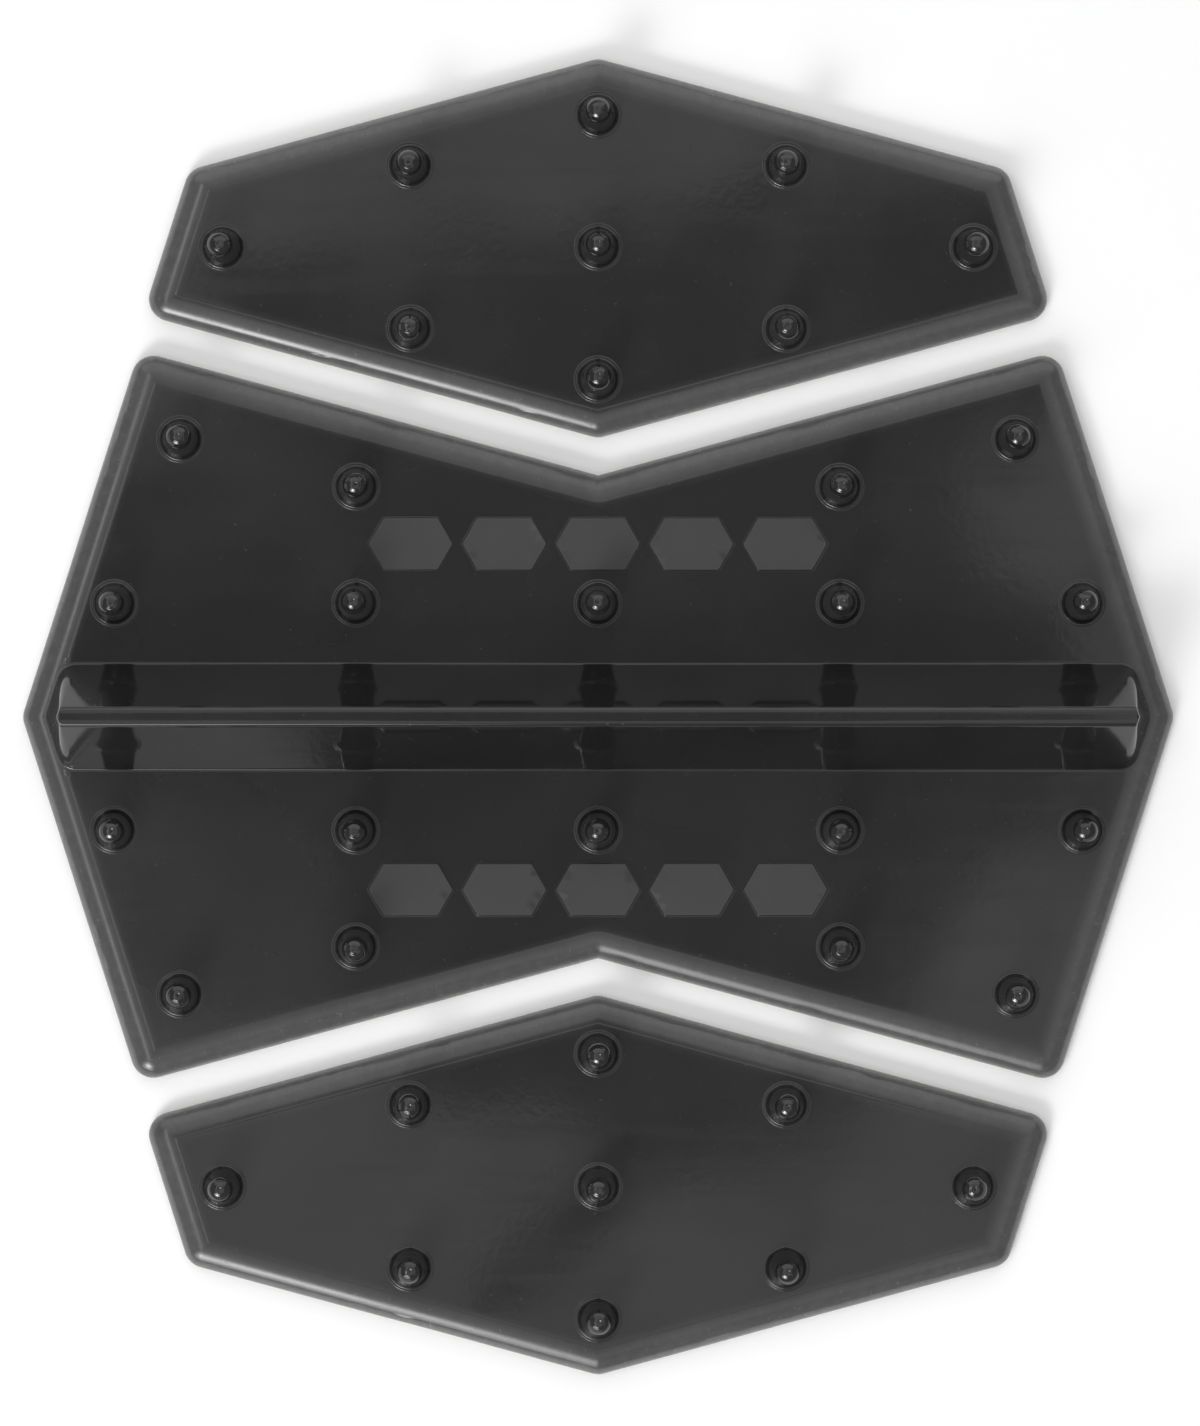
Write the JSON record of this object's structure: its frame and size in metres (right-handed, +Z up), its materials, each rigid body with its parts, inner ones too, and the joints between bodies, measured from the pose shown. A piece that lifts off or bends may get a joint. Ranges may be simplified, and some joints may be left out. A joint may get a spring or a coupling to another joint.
{
  "type": "snowboard stomp pad",
  "caption": "Modular stick-on traction pad for a snowboard deck: a centre pad with a tall scraper ridge, between matching side pads, all studded, in glossy smoke vinyl.",
  "frame": {"origin": "under the middle of the scraper ridge, on the surface that the release liners lie on", "axes": "+X along the scraper ridge, +Y towards the upper pad, +Z up from the deck through the studs"},
  "size_m": [0.144, 0.1648, 0.0137],
  "materials": {
    "smoke_vinyl": "glossy moulded soft vinyl, translucent smoke black, lighter where it thins at the edges",
    "adhesive": "satin double-sided acrylic foam sheet",
    "release_liner": "semi-matte silicone-coated release paper"
  },
  "bodies": {
    "centre_backing": {"centre_liner": "release_liner"},
    "centre_stomp_pad": {"centre_adhesive": "adhesive", "centre_pad": "smoke_vinyl"},
    "upper_backing": {"upper_liner": "release_liner"},
    "upper_stomp_pad": {"upper_adhesive": "adhesive", "upper_pad": "smoke_vinyl"},
    "lower_backing": {"lower_liner": "release_liner"},
    "lower_stomp_pad": {"lower_adhesive": "adhesive", "lower_pad": "smoke_vinyl"}
  },
  "joints": [
    {"name": "centre_lift", "type": "slide", "parent": "centre_backing", "child": "centre_stomp_pad", "axis": [0, 0, 1], "range_m": [0, 0.04]},
    {"name": "upper_spacing", "type": "slide", "parent": "centre_backing", "child": "upper_backing", "axis": [0, 1, 0], "range_m": [-0.004, 0.04]},
    {"name": "upper_lift", "type": "slide", "parent": "upper_backing", "child": "upper_stomp_pad", "axis": [0, 0, 1], "range_m": [0, 0.04]},
    {"name": "lower_spacing", "type": "slide", "parent": "centre_backing", "child": "lower_backing", "axis": [0, -1, 0], "range_m": [-0.004, 0.04]},
    {"name": "lower_lift", "type": "slide", "parent": "lower_backing", "child": "lower_stomp_pad", "axis": [0, 0, 1], "range_m": [0, 0.04]}
  ]
}
